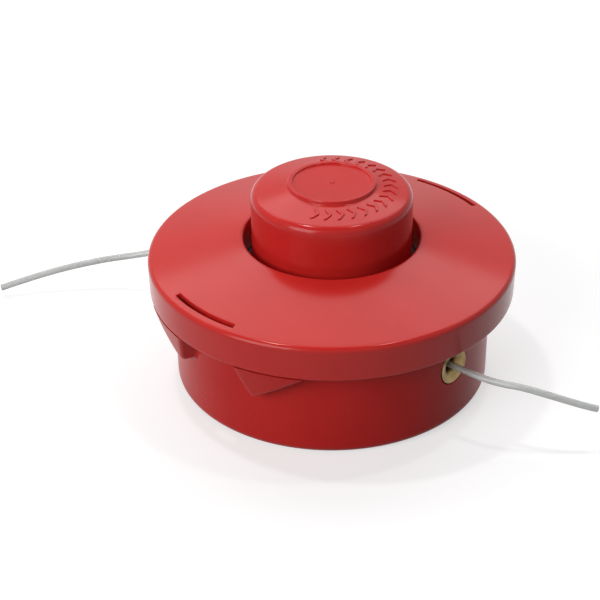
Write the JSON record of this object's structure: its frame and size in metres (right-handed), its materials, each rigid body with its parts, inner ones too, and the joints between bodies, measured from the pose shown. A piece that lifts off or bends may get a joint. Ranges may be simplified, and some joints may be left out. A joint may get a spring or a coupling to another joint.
{
  "type": "trimmer head",
  "caption": "Round bump-feed string trimmer head with a flanged cover, a spring-loaded knob, brass line eyelets, a line spool and free line ends.",
  "frame": {"origin": "centre of the mounting face, on the drive axis, where the base rests", "axes": "+Z along the drive axis from the mounting face to the bump knob; -Y towards the side that the picture shows; the line exits lie at 318.3 and 138.3 degrees from +X"},
  "size_m": [0.2187, 0.13, 0.0756],
  "materials": {
    "red_plastic": "semi-gloss moulded nylon",
    "black_plastic": "satin moulded nylon",
    "nylon_line": "translucent natural nylon",
    "steel": "zinc plated",
    "brass": "turned brass, dull"
  },
  "bodies": {
    "housing": {"housing": "red_plastic", "cover": "red_plastic", "drive_nut": "steel", "eyelet_right": "brass", "eyelet_left": "brass", "feed_spring": "steel", "line_tail_right": "nylon_line", "line_tail_left": "nylon_line"},
    "washer": {"thrust_washer": "steel"},
    "spool": {"spool": "black_plastic", "line_winding": "nylon_line", "bump_knob": "red_plastic"}
  },
  "joints": [
    {"name": "bump", "type": "slide", "parent": "housing", "child": "washer", "axis": [0, 0, -1], "range_m": [0, 0.005], "stiffness_N_per_m": 1300, "springref_m": -0.01, "deforming": ["feed_spring"]},
    {"name": "feed", "type": "hinge", "parent": "washer", "child": "spool", "pos_m": [0, 0, 0.036], "axis": [0, 0, 1], "range_deg": [0, 23]}
  ],
  "couplings": [
    {"joint": "feed", "follows": "bump", "rad_per_m": 78.54}
  ]
}
